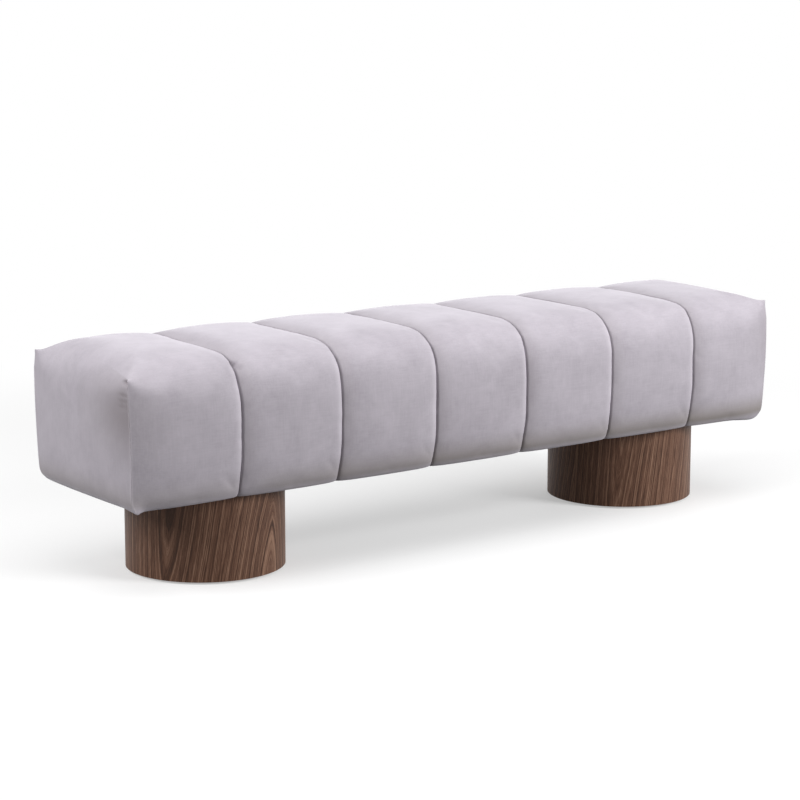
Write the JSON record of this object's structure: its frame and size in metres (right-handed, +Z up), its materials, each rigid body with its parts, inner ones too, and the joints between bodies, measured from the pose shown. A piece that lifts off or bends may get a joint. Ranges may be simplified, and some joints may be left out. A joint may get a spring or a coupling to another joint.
{
  "type": "upholstered dining bench",
  "caption": "Long backless bench with a channel-sewn velvet seat over foam and a timber frame, standing on round walnut-veneered drums.",
  "frame": {"origin": "on the floor, under the middle of the bench", "axes": "+X along the seat, -Y towards the front, +Z up"},
  "size_m": [1.6, 0.398, 0.4504],
  "materials": {
    "velvet": "short pile velvet",
    "wadding": "polyester wadding",
    "foam": "polyurethane foam",
    "dust_cloth": "spunbond cloth",
    "pine": "planed",
    "plywood": "sanded",
    "walnut": "satin lacquer",
    "steel": "zinc plated",
    "nylon": "moulded"
  },
  "bodies": {
    "root": {"base_board": "plywood", "board_screws": "steel", "corner_blocks": "pine", "cross_rail_1": "pine", "cross_rail_2": "pine", "cross_rail_3": "pine", "cross_rail_4": "pine", "cross_rail_5": "pine", "deck_screws": "steel", "dust_cover": "dust_cloth", "dust_cover_staples": "steel", "front_foam": "foam", "front_rail": "pine", "left_drum_base_ring": "plywood", "left_drum_bolts": "steel", "left_drum_cleats": "pine", "left_drum_glides": "nylon", "left_drum_tee_nuts": "steel", "left_drum_top_plate": "plywood", "left_drum_veneer": "walnut", "left_drum_wall": "plywood", "left_drum_washers": "steel", "left_end_rail": "pine", "left_foam": "foam", "rail_screws": "steel", "rear_foam": "foam", "rear_rail": "pine", "right_drum_base_ring": "plywood", "right_drum_bolts": "steel", "right_drum_cleats": "pine", "right_drum_glides": "nylon", "right_drum_tee_nuts": "steel", "right_drum_top_plate": "plywood", "right_drum_veneer": "walnut", "right_drum_wall": "plywood", "right_drum_washers": "steel", "right_end_rail": "pine", "right_foam": "foam", "seat_deck": "plywood", "top_foam": "foam", "velvet_channel_1": "velvet", "velvet_channel_2": "velvet", "velvet_channel_3": "velvet", "velvet_channel_4": "velvet", "velvet_channel_5": "velvet", "velvet_end_left": "velvet", "velvet_end_right": "velvet", "wadding_channel_1": "wadding", "wadding_channel_2": "wadding", "wadding_channel_3": "wadding", "wadding_channel_4": "wadding", "wadding_channel_5": "wadding", "wadding_end_left": "wadding", "wadding_end_right": "wadding"}
  },
  "joints": []
}
